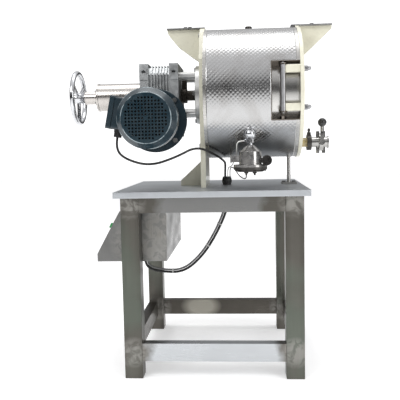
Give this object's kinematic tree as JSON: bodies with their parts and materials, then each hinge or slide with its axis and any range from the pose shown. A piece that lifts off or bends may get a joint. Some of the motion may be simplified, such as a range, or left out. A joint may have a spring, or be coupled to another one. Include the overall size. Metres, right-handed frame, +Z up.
{
  "type": "drum refiner mill",
  "caption": "Jacketed horizontal drum refiner mill on a stainless table, with worm gear motor, pressure handwheel, hinged end door, outlet valve and control box.",
  "frame": {"origin": "centre of the four foot holes, on the floor", "axes": "+Z up, +X towards the outlet valve, -Y towards the operator"},
  "size_m": [1.0755, 0.752, 1.354],
  "materials": {
    "stainless": "satin",
    "polished": "polished",
    "cream_paint": "gloss",
    "aluminium": "cast",
    "motor_paint": "satin",
    "dark_steel": "oiled",
    "rubber": "matte",
    "black_plastic": "gloss",
    "white_plastic": "matte",
    "bronze": "machined",
    "green_plastic": "matte",
    "red_plastic": "matte",
    "zinc": "zinc plated",
    "grey_plastic": "matte",
    "cable_black": "matte",
    "cable_grey": "matte",
    "cable_white": "matte",
    "tan_paint": "satin"
  },
  "bodies": {
    "base": {"adjust_tube": "stainless", "bearing_flange": "aluminium", "box_panel": "stainless", "box_shell": "stainless", "box_switchgear": "grey_plastic", "cable_glands": "black_plastic", "cable_ties": "white_plastic", "drum_back": "stainless", "drum_jacket": "polished", "drum_liner": "stainless", "drum_rings": "stainless", "fan_cowl": "motor_paint", "fasteners": "zinc", "gearbox_housing": "aluminium", "harness_1": "cable_black", "harness_2": "cable_grey", "heater_cable": "cable_black", "heater_cover": "dark_steel", "heater_pot": "polished", "hinge_pin": "polished", "hinge_pocket": "stainless", "jacket_elbow": "polished", "motor_cable": "cable_black", "motor_frame": "motor_paint", "sensor_cable": "cable_white", "shaft_bearings": "dark_steel", "spacer_studs": "zinc", "stand_plate": "cream_paint", "stretchers": "stainless", "support_post": "stainless", "table_legs": "stainless", "table_top": "stainless", "terminal_box": "motor_paint", "top_rails": "stainless"},
    "rotor": {"main_shaft": "dark_steel", "worm_wheel": "bronze", "rotor_hubs": "stainless"},
    "worm": {"worm_shaft": "dark_steel", "fan": "black_plastic"},
    "handwheel": {"handwheel": "polished", "adjust_screw": "stainless"},
    "thrust": {"thrust_block": "bronze"},
    "push_rod": {"push_rod": "stainless"},
    "blade_a": {"blade_1": "stainless"},
    "blade_b": {"blade_2": "stainless"},
    "blade_c": {"blade_3": "stainless"},
    "door": {"door_plate": "cream_paint", "door_gasket": "rubber", "door_strip": "stainless", "hinge_arms": "cream_paint", "spout": "tan_paint", "valve_body": "polished", "spout_clamp": "dark_steel"},
    "valve": {"valve_lever": "polished", "lever_ball": "black_plastic"},
    "knob_a": {"clamp_knob_1": "polished"},
    "knob_b": {"clamp_knob_2": "polished"},
    "start": {"start_button": "green_plastic"},
    "stop": {"stop_button": "red_plastic"},
    "e_stop": {"emergency_stop": "red_plastic"}
  },
  "joints": [
    {"name": "rotor_spin", "type": "hinge", "parent": "base", "child": "rotor", "pos_m": [0, 0, 1.076], "axis": [1, 0, 0], "continuous": true},
    {"name": "motor_spin", "type": "hinge", "parent": "base", "child": "worm", "pos_m": [-0.225, 0, 0.97], "axis": [0, 1, 0], "continuous": true},
    {"name": "handwheel_turn", "type": "hinge", "parent": "base", "child": "handwheel", "pos_m": [-0.5, 0, 1.076], "axis": [-1, 0, 0], "range_deg": [0, 1440]},
    {"name": "thrust_slide", "type": "slide", "parent": "base", "child": "thrust", "axis": [1, 0, 0], "range_m": [0, 0.0101]},
    {"name": "push_rod_slide", "type": "slide", "parent": "rotor", "child": "push_rod", "axis": [1, 0, 0], "range_m": [0, 0.0101]},
    {"name": "blade_a_slide", "type": "slide", "parent": "rotor", "child": "blade_a", "axis": [0, 0, 1], "range_m": [0, 0.00405]},
    {"name": "blade_b_slide", "type": "slide", "parent": "rotor", "child": "blade_b", "axis": [0, -0.866, -0.5], "range_m": [0, 0.00405]},
    {"name": "blade_c_slide", "type": "slide", "parent": "rotor", "child": "blade_c", "axis": [0, 0.866, -0.5], "range_m": [0, 0.00405]},
    {"name": "door_swing", "type": "hinge", "parent": "base", "child": "door", "pos_m": [0.27, -0.244, 1.076], "axis": [0, 0, -1], "range_deg": [0, 110]},
    {"name": "valve_turn", "type": "hinge", "parent": "door", "child": "valve", "pos_m": [0.4385, 0, 0.873], "axis": [0, 1, 0], "range_deg": [0, 90]},
    {"name": "knob_a_turn", "type": "hinge", "parent": "door", "child": "knob_a", "pos_m": [0.334, 0.20947, 1.20689], "axis": [1, 0, 0], "range_deg": [0, 720]},
    {"name": "knob_b_turn", "type": "hinge", "parent": "door", "child": "knob_b", "pos_m": [0.334, 0.20947, 0.94511], "axis": [1, 0, 0], "range_deg": [0, 720]},
    {"name": "start_press", "type": "slide", "parent": "base", "child": "start", "axis": [0.8742, 0, -0.4856], "range_m": [0, 0.004], "stiffness_N_per_m": 400},
    {"name": "stop_press", "type": "slide", "parent": "base", "child": "stop", "axis": [0.8742, 0, -0.4856], "range_m": [0, 0.004], "stiffness_N_per_m": 400},
    {"name": "e_stop_press", "type": "slide", "parent": "base", "child": "e_stop", "axis": [0.8742, 0, -0.4856], "range_m": [0, 0.004], "stiffness_N_per_m": 400}
  ],
  "couplings": [
    {"joint": "motor_spin", "follows": "rotor_spin", "ratio": 40},
    {"joint": "thrust_slide", "follows": "handwheel_turn", "m_per_rad": 0.00039789},
    {"joint": "push_rod_slide", "follows": "handwheel_turn", "m_per_rad": 0.00039789},
    {"joint": "blade_a_slide", "follows": "handwheel_turn", "m_per_rad": 0.00015915},
    {"joint": "blade_b_slide", "follows": "handwheel_turn", "m_per_rad": 0.00015915},
    {"joint": "blade_c_slide", "follows": "handwheel_turn", "m_per_rad": 0.00015915}
  ]
}
